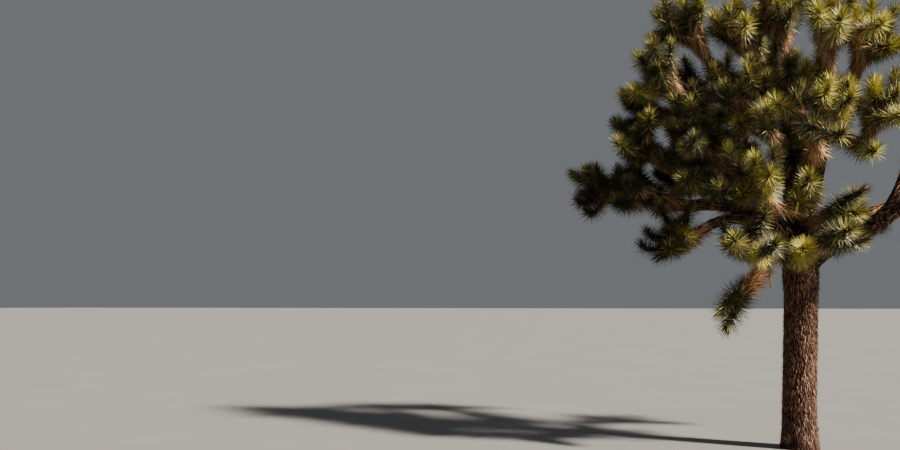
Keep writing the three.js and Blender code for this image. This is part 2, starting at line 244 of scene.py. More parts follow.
# name, parent, share of the parent, aim, shoots, spread, turn in degrees, lift
MASSES = [
    ("leaves_right_up", "bough_right_up", 1, (1.77, 0.48, 4.66), 4, 0.38, 20, 0.5),
    ("leaves_right_out", "bough_right_out", 1, (2.21, -0.2, 3.3), 4, 0.3, 90, 0.6),
    ("leaves_right_high", "bough_right_high", 1, (1.18, -0.28, 4.31), 4, 0.21, 50, 0.5),
    ("leaves_right_crown", "bough_right_crown", 1, (1.17, 0.05, 5.32), 4, 0.3, 40, 0.5),
    ("leaves_front_crown", "bough_front_crown", 1, (0.61, -0.56, 5.4), 4, 0.29, 10, 0.6),
    ("leaves_left_high", "bough_left_high", 1, (-1.83, -0.38, 4.96), 5, 0.27, 20, 0.6),
    ("leaves_top_left", "bough_top_left", 1, (-0.71, 0.06, 5.61), 3, 0.26, 40, 0.2),
    ("leaves_top", "bough_top", 1, (-0.12, 0.3, 5.91), 4, 0.29, 30, 0.4),
    ("leaves_left_mid", "bough_left_mid", 1, (-1.37, -0.64, 3.97), 4, 0.26, 30, 0.5),
    ("leaves_left_upper", "bough_left_upper", 1, (-2.22, 0.24, 4.45), 4, 0.26, 40, 0.4),
    ("leaves_top_far_left", "bough_top_far_left", 1, (-1.55, 0, 5.81), 4, 0.25, 20, 0.2),
    ("leaves_left_lower", "bough_left_lower", 1, (-2.09, -0.24, 3.95), 4, 0.24, 30, 0.4),
    ("leaves_left_long", "bough_left_long", 0.93, (-2.85, 0, 3.44), 4, 0.16, 45, 0.25),
    ("leaves_left_back", "bough_left_long", 0.2, (-1.66, 0.8, 3.8), 4, 0.28, 0, 0.5),
    ("leaves_left_arm", "bough_left_long", 0.6, (-2.17, -0.32, 3.29), 3, 0.2, 30, 0.3),
    ("leaves_left_drop", "bough_left_drop", 1, (-1.6, -0.55, 2.49), 4, 0.14, 250, 0),
    ("leaves_low", "bough_front_low", 0.85, (-0.81, -1.05, 1.54), 2, 0.08, 210, -0.3),
    ("leaves_front_low", "bough_front_low", 1, (-0.56, -1, 2.53), 3, 0.17, -30, 0.4),
    ("leaves_right_front", "bough_main", 0.12, (0.77, -0.7, 2.62), 2, 0.13, 0, 0),
    ("leaves_right_mid", "bough_main", 0.26, (0.83, -0.55, 2.98), 2, 0.13, 90, -0.2),
    ("leaves_fork", "trunk", 0.94, (-0.03, -0.7, 2.52), 2, 0.16, 0, 0.3),
    ("leaves_main_front", "bough_main", 0.5, (0.17, -0.78, 3.14), 2, 0.16, 90, 1),
    ("leaves_front", "bough_front", 1, (-0.47, -1.3, 3.31), 3, 0.24, 30, 0.5),
    ("leaves_front_high", "bough_front_high", 1, (0.35, -1.1, 4.15), 4, 0.25, 0, 0.9),
    ("leaves_left_front", "bough_left_lower", 0.4, (-1.01, -1, 3.24), 2, 0.2, 0, 0.3),
    ("leaves_centre_front", "bough_centre_front", 1, (-0.48, -0.9, 4.37), 4, 0.3, 0, 0.9),
    ("leaves_back_left", "bough_back_left", 1, (-1.13, 1.7, 4.18), 4, 0.45, 0, 0.7),
    ("leaves_back", "bough_back", 1, (0.34, 1.9, 4.86), 4, 0.44, 0, 0.8),
    ("leaves_back_right", "bough_back_right", 1, (2.09, 1.5, 3.42), 4, 0.42, 0, 0.7),
    ("leaves_back_top", "bough_back_top", 1, (-0.55, 1.3, 5.33), 4, 0.4, 0, 0.7),
    ("leaves_centre", "bough_centre", 0.96, (0.3, -0.2, 4.76), 3, 0.25, 70, 0.6),
    ("leaves_top_left_back", "bough_top_far_left", 0.6, (-1.46, 0.7, 4.75), 4, 0.3, 0, 0.5),
]

# name, how far to the right and how high it stands in degrees, softness in degrees, strength, colour
LIGHTS = [
    ("key", 82, 37, 5, 14.5, (1.0, 0.92, 0.80)),
    ("fill", -20, 35, 60, 0.1, (0.9, 0.95, 1.0)),
]
WORLD_COLOUR = (0.80, 0.85, 0.90)
WORLD_STRENGTH = 0.2

# Floor
FLOOR_SIZE = 900
FLOOR_NOISE = 0.6
FLOOR_STOPS = [(0.3, (0.17, 0.166, 0.162)), (0.7, (0.186, 0.182, 0.178))]
FLOOR_ROUGHNESS = 0.9

# Kinds of live leaf, lit and shaded copies of one leaf, from the deepest painted shade to the brightest
# painted sunlight, and the pale one last as a painted highlight: name, colour, roughness
LIVE_KINDS = [
    ("leaves_deep_painted_shade", (0.033, 0.033, 0.016), 0.6),
    ("leaves_olive_painted_shade", (0.086, 0.079, 0.027), 0.55),
    ("leaves_green", (0.172, 0.153, 0.036), 0.5),
    ("leaves_bright_painted_sun", (0.460, 0.410, 0.068), 0.45),
    ("leaves_pale_painted_highlight", (0.475, 0.455, 0.250), 0.45),
]

# Tones at which one kind of live leaf gives way to the next, from painted shade to painted sunlight,
# and the pale painted highlights' share at full tone
LIVE_STEPS = (0.3, 0.54, 0.77)
PAINTED_HIGHLIGHT_SHARE = 0.12

# A head's tone, painted sunlight with random tone on top: at the crown's middle, what a metre to the
# right, up and forward adds as painted light from the key light's side, how it varies
TONE = 0.38
TONE_LEVEL = 3.8
PAINTED_LIGHT_RIGHT = 0.11
PAINTED_LIGHT_UP = 0.09
PAINTED_LIGHT_FORWARD = 0.07
TONE_VARIES = 0.18
TONE_ALONG_HEAD = 0.22
TONE_OF_LEAF_VARIES = 0.2

# Tips of the heads that stand in full sun, how near a head counts as one, and what it gains
SUNLIT_HEADS = np.array([
    (-0.21, -1.31, 3.29),
    (-0.38, -1.24, 3.45),
    (-0.62, -1.18, 2.54),
    (0.14, -0.63, 2.45),
    (0.46, -1.04, 4.32),
    (-0.45, -0.85, 4.62),
])
SUNLIT_REACH = 0.16
SUNLIT_GAIN = 0.4

# Kinds of scale: name, colour, share
SCALE_KINDS = [
    ("scales_tan", (0.36, 0.200, 0.115), 0.25),
    ("scales_brown", (0.070, 0.030, 0.018), 0.5),
    ("scales_grey", (0.15, 0.100, 0.078), 0.25),
]
SCALE_ROUGHNESS = 0.85

# Kinds of dry leaf: name, colour, share, and the stalk's own kind
DRY_KINDS = [
    ("dry_straw", (0.64, 0.42, 0.22), 0.4),
    ("dry_rust", (0.250, 0.105, 0.042), 0.34),
    ("dry_grey", (0.160, 0.110, 0.070), 0.26),
]
STALK_LEAF_KIND = ("dry_pale", (0.78, 0.68, 0.50))
DRY_ROUGHNESS = 0.8

# Surface of a leaf: patches and grooves to a metre, the patches' shades, bump and shine
LEAF_PATCHES = 9
LEAF_GROOVES = 60
LEAF_SHADES = [(0.35, 0.8), (0.65, 1.18)]
LEAF_BUMP = (0.15, 0.002)
LEAF_SPECULAR = 0.22

# Barks: colours in the cracks, the furrows' own dark colour deepened with painted shade, on the body
# and on the plates, and how the fibres stretch
BARKS = {
    "trunk_bark": ((0.008, 0.004, 0.003), (0.044, 0.020, 0.013), (0.16, 0.080, 0.047), (1, 1, 0.16)),
    "bough_bark": ((0.012, 0.007, 0.006), (0.055, 0.032, 0.023), (0.24, 0.155, 0.105), (1, 1, 0.4)),
    "shoot_bark": ((0.02, 0.013, 0.010), (0.10, 0.066, 0.040), (0.18, 0.125, 0.076), (1, 1, 1)),
}

# Surface of the bark: heights of its colours, patches and fibres to a metre and their detail, tints
BARK_HEIGHTS = (0.12, 0.45, 0.85)
BARK_PATCHES = (5, 4, (1, 1, 0.5))
PATCH_TINTS = [(0.3, (0.62, 0.56, 0.55)), (0.7, (1.2, 1.12, 1.05))]
BARK_FIBRES = (110, 3)
FIBRE_TINTS = [(0.3, (0.68, 0.66, 0.64)), (0.7, (1.15, 1.15, 1.12))]
BARK_BUMP = (0.6, 0.004)
BARK_ROUGHNESS = 0.92
BARK_SPECULAR = 0.2

# The trunk and the boughs with dry leaves on them: name, from which share, how many to a metre
THATCHED = [
    ("trunk", 0.87, 900),
    ("bough_main", 0.35, 160),
    ("bough_centre", 0.35, 260),
    ("bough_right", 0.5, 60),
    ("bough_left", 0.4, 160),
    ("bough_left_rise", 0.6, 60),
    ("bough_back_left", 0.3, 200),
    ("bough_back_right", 0.3, 200),
    ("bough_front_low", 0.3, 300),
    ("bough_left_long", 0.2, 110),
    ("bough_left_drop", 0.4, 110),
    ("bough_right_up", 0.1, 260),
    ("bough_right_out", 0.15, 200),
    ("bough_front", 0.2, 380),
    ("bough_right_high", 0.2, 300),
    ("bough_right_crown", 0.15, 500),
    ("bough_front_crown", 0.15, 500),
    ("bough_front_high", 0.2, 380),
    ("bough_back", 0.2, 260),
    ("bough_centre_front", 0.2, 400),
    ("bough_top_left", 0.15, 500),
    ("bough_top", 0.15, 500),
    ("bough_left_high", 0.2, 380),
    ("bough_back_top", 0.2, 380),
    ("bough_left_mid", 0.2, 300),
    ("bough_left_upper", 0.2, 300),
    ("bough_left_lower", 0.2, 260),
    ("bough_top_far_left", 0.2, 420),
]

# Boughs with side shoots of their own, and from which share
LEAFY_BOUGHS = [
    ("bough_left", 0.6),
    ("bough_left_high", 0.2),
    ("bough_left_upper", 0.35),
    ("bough_left_mid", 0.25),
    ("bough_left_lower", 0.5),
    ("bough_left_long", 0.5),
    ("bough_top_far_left", 0.25),
    ("bough_top_left", 0.2),
    ("bough_top", 0.3),
    ("bough_right_crown", 0.15),
    ("bough_front_crown", 0.2),
    ("bough_back", 0.3),
    ("bough_back_top", 0.25),
    ("bough_back_left", 0.3),
    ("bough_back_right", 0.25),
    ("bough_centre_front", 0.4),
    ("bough_right_high", 0.3),
    ("bough_right_out", 0.4),
    ("bough_centre", 0.4),
]

# Seeds of the side shoots, the leaves and the trunk's scales, and of each pattern in the bark
CROWN_SEED = 47
LEAF_SEED = 7
SCALE_SEED = 3
PLATE_SALTS = (1, 2, 3)
LEVEL_SALT = 4
WARP_SALT = 5
FIBRE_SALT = 6
SWELL_SALT = 7

# Factors of the rules that make the numbers
DRAW_FACTOR = 1664525
DRAW_STEP = 1013904223
DRAW_RANGE = 2**32
CELL_FACTORS = (374761393, 668265263, 2246822519)
SALT_FACTOR = 3266489917
MIX_FACTOR = 1274126177

UP = np.array([0.0, 0.0, 1.0])
BACK = np.array([0.0, 1.0, 0.0])
crown_low, crown_high = (np.array(corner) for corner in cad_box)


def seeded(seed):
    """Numbers from 0 to 1, the same ones on each run."""
    state = seed

    def draw():
        nonlocal state
        state = (state * DRAW_FACTOR + DRAW_STEP) % DRAW_RANGE
        return state / DRAW_RANGE

    return draw


def unit(vectors):
    """Vectors of length one, one or many."""
    return vectors / np.linalg.norm(vectors, axis=-1, keepdims=True)


def square_to(axes, vectors):
    """Vectors of length one, turned square to their axes."""
    return unit(vectors - axes * (vectors * axes).sum(axis=1, keepdims=True))


def smooth(share):
    """0 to 1 with flat ends."""
    held = np.clip(share, 0, 1)
    return held * held * (3 - 2 * held)


class Limb:
    """A cubic curve with a radius at each share of it."""

    def __init__(self, points, radius_at):
        self.points = np.array(points, float)
        self.radius_at = radius_at

    def at(self, share):
        """Points on the curve."""
        t = np.asarray(share, float)[..., None]
        a, b, c, d = self.points
        return (1 - t) ** 3 * a + 3 * (1 - t) ** 2 * t * b + 3 * (1 - t) * t * t * c + t**3 * d

    def direction(self, share):
        """Which way the curve runs."""
        t = np.asarray(share, float)[..., None]
        a, b, c, d = self.points
        return unit((1 - t) ** 2 * (b - a) + 2 * (1 - t) * t * (c - b) + t * t * (d - c))

    def length(self):
        """The curve's length."""
        samples = self.at(np.linspace(0, 1, LENGTH_SAMPLES))
        return np.linalg.norm(np.diff(samples, axis=0), axis=1).sum()


def limb_between(start, parent_direction, end, lift, follows, radius_at):
    """A limb that leaves its start partly along its parent, and ends turned up by lift."""
    reach = np.linalg.norm(end - start)
    straight = (end - start) / reach
    leaving = unit(parent_direction * follows + straight * (1 - follows))
    arriving = unit(straight + UP * lift)
    handles = [start, start + leaving * reach * START_HANDLE, end - arriving * reach * END_HANDLE, end]
    return Limb(handles, radius_at)


def tapered(root, tip):
    """A radius that goes evenly from root to tip."""
    return lambda share: root + (tip - root) * np.asarray(share, float)


def trunk_radius(share):
    """The trunk's taper, with its root flare, its swell at the fork and its rounded top."""
    z = np.asarray(share, float) * TRUNK_HEIGHT
    flare = ROOT_FLARE * np.exp(-z / FLARE_HEIGHT)
    swell = FORK_SWELL * smooth((z - FORK_FROM) / (DOME_FROM - FORK_FROM))
    full = TRUNK_RADIUS + flare + swell
    dome = np.clip((z - DOME_FROM) / (TRUNK_HEIGHT - DOME_FROM), 0, 1)
    return DOME_TOP_RADIUS + (full - DOME_TOP_RADIUS) * np.sqrt(1 - dome * dome)


def grow_limbs():
    """The trunk and its boughs by name."""
    handles = [
        (0, 0, 0),
        (0, 0, TRUNK_HEIGHT / 3),
        (TRUNK_LEAN, 0, TRUNK_HEIGHT * 2 / 3),
        (TRUNK_LEAN, 0, TRUNK_HEIGHT),
    ]
    limbs = {"trunk": Limb(handles, trunk_radius)}
    for name, parent_name, share, tip, radii, lift in BOUGHS:
        parent = limbs[parent_name]
        start, along = parent.at(share), parent.direction(share)
        limbs[name] = limb_between(start, along, np.array(tip), lift, BOUGH_FOLLOWS, tapered(*radii))
    return limbs


def across_and_above(axis):
    """Two directions at right angles to an axis, the second one as near up as it goes."""
    side = unit(np.cross(axis, UP))
    return side, np.cross(side, axis)


def grow_shoots(row, limbs, draw):
    """The shoots of a mass: the first runs on from its bough, and the others fork from it."""
    _, parent_name, share, aim, count, spread, turn, lift = row
    parent = limbs[parent_name]
    axis = unit(np.array(aim) - parent.at(share))
    side, above = across_and_above(axis)
    radius_at = tapered(SHOOT_RADIUS, SHOOT_TIP_RADIUS)
    shoots = []
    for i in range(count):
        angle = math.radians(turn) + math.tau * (i + FAN_JITTER * draw()) / count
        along = (draw() - 0.5) * spread * REACH_JITTER - i * SHORTER_BY
        tip = np.array(aim) + (side * math.cos(angle) + above * math.sin(angle)) * spread + axis * along
        origin, at = (shoots[0], FIRST_FORK + FORK_STEP * (i - 1)) if i else (parent, share)
        root, heading = origin.at(at), origin.direction(at)
        shoots.append(limb_between(root, heading, tip, lift, SHOOT_FOLLOWS, radius_at))
    return shoots


def roomiest_tip(start, axis, taken, rng):
    """Where a side shoot's head has room and stands highest, or nothing where it has no room."""
    side, above = across_and_above(axis)
    best, most = None, -1
    for turn in rng.uniform(0, math.tau, SIDE_SHOOT_TRIES):
        out = side * math.cos(turn) + above * math.sin(turn)
        heading = axis * math.cos(SIDE_SHOOT_SPREAD) + out * math.sin(SIDE_SHOOT_SPREAD)
        tip = start + heading * SIDE_SHOOT_LENGTH * rng.uniform(*SIDE_SHOOT_VARIES)
        room = np.linalg.norm(np.array(taken) - tip, axis=1).min()
        worth = room + SIDE_SHOOT_RISE * (tip - start)[2]
        margin = min((tip - crown_low).min(), (crown_high - tip).min())
        if room > SIDE_SHOOT_ROOM and worth > most and margin > SIDE_SHOOT_INSET:
            best, most = tip, worth
    return best


def side_shoots(limb, low, high, gap, taken, rng):
    """Side shoots along a limb, whose tips join the places taken."""
    grown = []
    count = max(1, round(limb.length() * (high - low) / gap))
    radius_at = tapered(SHOOT_TIP_RADIUS, SHOOT_TIP_RADIUS * SIDE_SHOOT_TAPER)
    shares = low + (high - low) * (np.arange(count) + rng.uniform(*SIDE_SHOOT_PLACE, count)) / count
    for share in shares:
        start, axis = limb.at(share), limb.direction(share)
        tip = roomiest_tip(start, axis, taken, rng)
        if tip is not None:
            taken.append(tip)
            grown.append(limb_between(start, axis, tip, SIDE_SHOOT_LIFT, SHOOT_FOLLOWS, radius_at))
    return grown


def lattice_noise(cells, salt):
    """One number from 0 to 1 for each whole-number cell."""
    whole = cells.astype(np.int64).astype(np.uint64)
    mixed = sum(whole[..., k] * np.uint64(factor) for k, factor in enumerate(CELL_FACTORS))
    mixed = (mixed + np.uint64(salt * SALT_FACTOR)) & np.uint64(DRAW_RANGE - 1)
    mixed = ((mixed ^ (mixed >> np.uint64(13))) * np.uint64(MIX_FACTOR)) & np.uint64(DRAW_RANGE - 1)
    mixed ^= mixed >> np.uint64(16)
    return mixed.astype(float) / DRAW_RANGE


def soft_noise(points, salt):
    """Smooth noise from 0 to 1, one swell to a unit."""
    low = np.floor(points)
    share = smooth(points - low)
    total = 0
    for corner in np.ndindex(2, 2, 2):
        weight = np.prod(np.where(np.array(corner) == 1, share, 1 - share), axis=-1)
        total = total + weight * lattice_noise(low + corner, salt)
    return total


def plates(points):
    """Irregular plates one unit wide: how far points are from their plate's edge, and its level."""
    low = np.floor(points)
    first = np.full(points.shape[:-1], np.inf)
    second = first.copy()
    level = np.zeros_like(first)
    for offset in np.ndindex(3, 3, 3):
        cell = low + offset - 1
        middle = cell + np.stack([lattice_noise(cell, salt) for salt in PLATE_SALTS], axis=-1)
        away = np.linalg.norm(middle - points, axis=-1)
        nearer = away < first
        second = np.where(nearer, first, np.minimum(second, away))
        level = np.where(nearer, lattice_noise(cell, LEVEL_SALT), level)
        first = np.where(nearer, away, first)
    return second - first, level


def bark_height(points, width, length):
    """The bark's relief from 0 in its cracks to 1 on its highest plates."""
    scaled = points / np.array([width, width, length])
    warp = soft_noise(scaled * WARP_NOISE, WARP_SALT)[..., None] * np.array(WARP)
    edge, level = plates(scaled + warp)
    fibre = soft_noise(scaled * np.array(FIBRE_NOISE), FIBRE_SALT)
    swell = soft_noise(scaled * SWELL_NOISE, SWELL_SALT)
    plate = PLATE_HEIGHT + PLATE_LEVEL * level + PLATE_SWELL * swell
    return smooth(edge / CRACK_EDGE) * plate + FIBRE_HEIGHT * fibre


def tube_frames(limb, shares):
    """Centres along a limb and two directions across it at each, with no twist."""
    tangents = limb.direction(shares)
    across = [unit(BACK - tangents[0] * tangents[0][1])]
    for tangent in tangents[1:]:
        across.append(unit(across[-1] - tangent * np.dot(across[-1], tangent)))
    across = np.array(across)
    return limb.at(shares), across, np.cross(tangents, across)


def tube_faces(rings, columns):
    """Triangles of a closed tube, with a middle point added at each end."""
    ring, column = np.meshgrid(np.arange(rings - 1), np.arange(columns), indexing="ij")
    beside = (column + 1) % columns
    a = ring * columns + column
    b = ring * columns + beside
    c = b + columns
    d = a + columns
    walls = [np.stack(corners, -1).reshape(-1, 3) for corners in ([a, b, c], [a, c, d])]
    foot, top = rings * columns, rings * columns + 1
    rim = np.arange(columns)
    next_rim = (rim + 1) % columns
    last = (rings - 1) * columns
    foot_cap = np.stack([np.full(columns, foot), next_rim, rim], -1)
    top_cap = np.stack([np.full(columns, top), last + rim, last + next_rim], -1)
    return np.concatenate([*walls, foot_cap, top_cap])


def bark_tube(limb, columns, rows, relief):
    """A closed tube round a limb with the bark's relief, and the height at each point."""
    plate, plate_length, depth = relief
    shares = np.linspace(0, 1, rows + 1)
    centres, across, other = tube_frames(limb, shares)
    along = np.concatenate([[0], np.linalg.norm(np.diff(centres, axis=0), axis=1).cumsum()])
    radius = limb.radius_at(shares)[:, None]
    turn = np.arange(columns) / columns * math.tau
    cosine, sine = np.cos(turn)[None], np.sin(turn)[None]
    flat = np.stack([cosine * radius, sine * radius, along[:, None] + 0 * cosine], -1)
    height = 0 * flat[..., 0]
    if depth:
        height = bark_height(flat + centres[0] * BARK_APART, plate, plate_length)
    out = across[:, None] * cosine[..., None] + other[:, None] * sine[..., None]
    surface = centres[:, None] + out * (radius + depth * (height - HEIGHT_AT_RADIUS))[..., None]
    points = np.concatenate([surface.reshape(-1, 3), centres[:1], centres[-1:]])
    ends = [height[0].mean(keepdims=True), height[-1].mean(keepdims=True)]
    return points, tube_faces(rows + 1, columns), np.concatenate([height.reshape(-1), *ends])


def joined_tubes(tubes):
    """Several tubes' points, triangles and heights as one."""
    points, faces, heights = zip(*tubes)
    starts = np.cumsum([0] + [len(part) for part in points])
    faces = [part + start for part, start in zip(faces, starts)]
    return np.concatenate(points), np.concatenate(faces), np.concatenate(heights)


def leaf_frames(limb, shares, turns, tilts):
    """The limb's centre at each leaf, the leaf's direction, its upper side and the way out."""
    axis = limb.direction(shares)
    side, above = across_and_above(axis)
    out = side * np.cos(turns)[:, None] + above * np.sin(turns)[:, None]
    cosine, sine = np.cos(tilts)[:, None], np.sin(tilts)[:, None]
    return limb.at(shares), axis * cosine + out * sine, axis * sine - out * cosine, out


def leaf_rows(limb, shares, turns, tilts, lengths, widths, hang=0.0):
    """Leaves as arrays: root, direction, upper side, length and width."""
    centre, direction, upper, out = leaf_frames(limb, shares, turns, tilts)
    direction = unit(direction - UP * hang)
    upper = square_to(direction, upper)
    roots = centre + out * (limb.radius_at(shares) * LEAF_ROOT)[:, None]
    return {"root": roots, "direction": direction, "upper": upper, "length": lengths, "width": widths}


def head_start(shoot, head_length):
    """The share of a shoot at which its head starts."""
    return 1 - min(head_length / shoot.length(), MOST_OF_SHOOT)


def live_leaves(shoot, head_length, count, size, rng):
    """Stiff leaves on the outer part of a head, leaning out at its foot and forward at its tip."""
    start = head_start(shoot, head_length)
    order = (np.arange(count) + rng.uniform(0, 1, count)) / count
    shares = start + (1 - start) * (LIVE_FROM + (1 - LIVE_FROM) * order**LIVE_CROWDING)
    turns = np.arange(count) * GOLDEN_ANGLE + rng.uniform(0, math.tau)
    lean = FOOT_LEAN - LEAN_LOST * order - TIP_LEAN_LOST * order**TIP_LEAN_ONSET
    tilts = np.radians(lean + rng.normal(0, LIVE_LEAN_VARIES, count))
    lengths = LEAF_LENGTH * (FOOT_LENGTH - TIP_LENGTH_LOST * order**TIP_LENGTH_ONSET)
    lengths = lengths * rng.uniform(*LIVE_LENGTH_VARIES, count) * size
    widths = LEAF_WIDTH * rng.uniform(*LIVE_WIDTH_VARIES, count)
    return leaf_rows(shoot, shares, turns, tilts, lengths, widths)


def dry_leaves(limb, low, high, count, lengths, lean, rng):
    """Dry leaves that hang back along a limb, the outer ones less so."""
    order = rng.uniform(0, 1, count)
    shares = low + (high - low) * order
    turns = rng.uniform(0, math.tau, count)
    leaned = lean[0] + (lean[1] - lean[0]) * order**DRY_LEAN_ONSET
    tilts = np.radians(leaned + rng.normal(0, DRY_LEAN_VARIES, count))
    drawn = rng.uniform(*lengths, count)
    widths = LEAF_WIDTH * rng.uniform(*DRY_WIDTH_VARIES, count)
    return leaf_rows(limb, shares, turns, tilts, drawn, widths, hang=DRY_HANG)


def trunk_scales(trunk, rng):
    """Short dry scales that lie along the bark and stand a little off it, clear of the ground."""
    count = TRUNK_SCALES
    shares = rng.uniform(*SCALE_PLACE, count)
    turns = rng.uniform(0, math.tau, count)
    ways = rng.choice([0, 180], count, p=[SCALES_POINTING_UP, 1 - SCALES_POINTING_UP])
    tilts = np.radians(ways + rng.normal(0, SCALE_TURN_VARIES, count))
    lengths = rng.uniform(*SCALE_LENGTH, count)
    widths = rng.uniform(*SCALE_WIDTH, count)
    rows = leaf_rows(trunk, shares, turns, tilts, lengths, widths)
    centre, _, _, out = leaf_frames(trunk, shares, turns, tilts)
    rows["root"] = centre + out * (trunk.radius_at(shares) - SCALE_DEPTH)[:, None]
    rows["direction"] = unit(rows["direction"] + out * rng.uniform(*SCALE_LEAN, count)[:, None])
    rows["upper"] = square_to(rows["direction"], out)
    tips = rows["root"][:, 2] + rows["direction"][:, 2] * lengths
    return chosen(rows, np.minimum(rows["root"][:, 2], tips) > SCALE_WIDTH[1])


def joined(parts):
    """Several sets of leaves as one."""
    return {key: np.concatenate([rows[key] for rows in parts]) for key in parts[0]}


def chosen(rows, mask):
    """The leaves that a mask or a slice picks."""
    return {key: value[mask] for key, value in rows.items()}


def segment_distance(points, start, end):
    """How far points are from a segment."""
    line = end - start
    share = np.clip((points - start) @ line / (line @ line), 0, 1)
    return np.linalg.norm(points - start - share[:, None] * line, axis=1)


def clear_of_limbs(rows, limbs):
    """Which leaves have their outer part outside all the limbs."""
    keep = np.ones(len(rows["root"]), bool)
    shares = np.linspace(0, 1, TESTED_STATIONS)
    for reach in TESTED_REACHES:
        points = rows["root"] + rows["direction"] * (rows["length"] * reach)[:, None]
        for limb in limbs.values():
            stations, radii = limb.at(shares), limb.radius_at(shares)
            for start, end, radius in zip(stations[:-1], stations[1:], radii[:-1]):
                keep &= segment_distance(points, start, end) > radius * TESTED_RADIUS
    return keep


def blade_mesh(rows):
    """Closed three-sided blades, widest at the root, that narrow evenly to a point."""
    across = np.cross(rows["direction"], rows["upper"])
    half = (rows["width"] / 2)[:, None]
    corners = [
        rows["root"] - across * half,
        rows["root"] + across * half,
        rows["root"] - rows["upper"] * half * LEAF_KEEL * 2,
        rows["root"] + rows["direction"] * rows["length"][:, None],
    ]
    vertices = np.stack(corners, axis=1)
    pattern = np.array([(0, 1, 2), (0, 3, 1), (1, 3, 2), (2, 3, 0)])
    faces = (np.arange(len(vertices))[:, None, None] * 4 + pattern[None]).reshape(-1, 3)
    return vertices.reshape(-1, 3), faces


def new_object(name, data):
    """An object in the scene."""
    made = bpy.data.objects.new(name, data)
    bpy.context.scene.collection.objects.link(made)
    return made


def mesh_object(name, points, faces, material, heights=None):
    """One object from arrays of points and triangles, smooth where it comes with the bark's heights."""
    mesh = bpy.data.meshes.new(name)
    mesh.vertices.add(len(points))
    mesh.vertices.foreach_set("co", np.asarray(points, np.float32).ravel())
    mesh.loops.add(len(faces) * 3)
    mesh.loops.foreach_set("vertex_index", np.asarray(faces, np.int32).ravel())
    mesh.polygons.add(len(faces))
    mesh.polygons.foreach_set("loop_start", np.arange(0, len(faces) * 3, 3, dtype=np.int32))
    mesh.polygons.foreach_set("use_smooth", np.full(len(faces), heights is not None))
    mesh.update(calc_edges=True)
    if heights is not None:
        relief = mesh.attributes.new("relief", "FLOAT", "POINT")
        relief.data.foreach_set("value", np.asarray(heights, np.float32))
    mesh.materials.append(material)
    made = new_object(name, mesh)
    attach(made, "root")
    return made


def leaf_pieces(name, rows, material):
    """A kind of leaf as joined pieces with a bounded number of faces."""
    for number, low in enumerate(range(0, len(rows["root"]), MOST_LEAVES_A_PIECE), start=1):
        points, faces = blade_mesh(chosen(rows, slice(low, low + MOST_LEAVES_A_PIECE)))
        mesh_object(f"{name}_{number}", points, faces, material)


def dealt_pieces(rows, kinds, roughness, rng):
    """Leaves dealt out to kinds by their shares, as joined pieces."""
    kind = rng.choice(len(kinds), len(rows["root"]), p=[share for _, _, share in kinds])
    for number, (name, colour, _) in enumerate(kinds):
        leaf_pieces(name, chosen(rows, kind == number), leaf_material(name, colour, roughness))


def new_material(name, roughness):
    """A material with its shader, ready for more nodes."""
    material = bpy.data.materials.new(name)
    material.use_nodes = True
    tree = material.node_tree
    shader = tree.nodes["Principled BSDF"]
    shader.inputs["Roughness"].default_value = roughness
    return material, tree, shader


def coloured_by(tree, factor, stops):
    """A colour that follows a factor through the stops given."""
    ramp = tree.nodes.new("ShaderNodeValToRGB")
    elements = ramp.color_ramp.elements
    while len(elements) < len(stops):
        elements.new(0.5)
    for element, (position, colour) in zip(elements, stops):
        element.position = position
        element.color = (*colour, 1)
    tree.links.new(factor, ramp.inputs["Fac"])
    return ramp.outputs["Color"]


def noise_factor(tree, scale, detail=2, stretch=(1, 1, 1)):
    """Noise in the object's own space, stretched along each axis."""
    place = tree.nodes.new("ShaderNodeTexCoord")
    mapping = tree.nodes.new("ShaderNodeMapping")
    mapping.inputs["Scale"].default_value = stretch
    noise = tree.nodes.new("ShaderNodeTexNoise")
    noise.inputs["Scale"].default_value = scale
    noise.inputs["Detail"].default_value = detail
    tree.links.new(place.outputs["Object"], mapping.inputs["Vector"])
    tree.links.new(mapping.outputs["Vector"], noise.inputs["Vector"])
    return noise.outputs["Fac"]


def multiplied(tree, first, second):
    """The product of two colours."""
    mix = tree.nodes.new("ShaderNodeMix")
    mix.data_type = "RGBA"
    mix.blend_type = "MULTIPLY"
    mix.inputs["Factor"].default_value = 1
    tree.links.new(first, mix.inputs["A"])
    tree.links.new(second, mix.inputs["B"])
    return mix.outputs["Result"]


def add_bump(tree, shader, height, strength, distance):
    """Fine relief in the shading."""
    bump = tree.nodes.new("ShaderNodeBump")
    bump.inputs["Strength"].default_value = strength
    bump.inputs["Distance"].default_value = distance
    tree.links.new(height, bump.inputs["Height"])
    tree.links.new(bump.outputs["Normal"], shader.inputs["Normal"])


def leaf_material(name, colour, roughness):
    """A leaf's plain colour, with a slight unevenness and fine grooves."""
    material, tree, shader = new_material(name, roughness)
    stops = [(place, tuple(min(1, c * shade) for c in colour)) for place, shade in LEAF_SHADES]
    shaded = coloured_by(tree, noise_factor(tree, LEAF_PATCHES), stops)
    tree.links.new(shaded, shader.inputs["Base Color"])
    add_bump(tree, shader, noise_factor(tree, LEAF_GROOVES), *LEAF_BUMP)
    shader.inputs["Specular IOR Level"].default_value = LEAF_SPECULAR
    return material


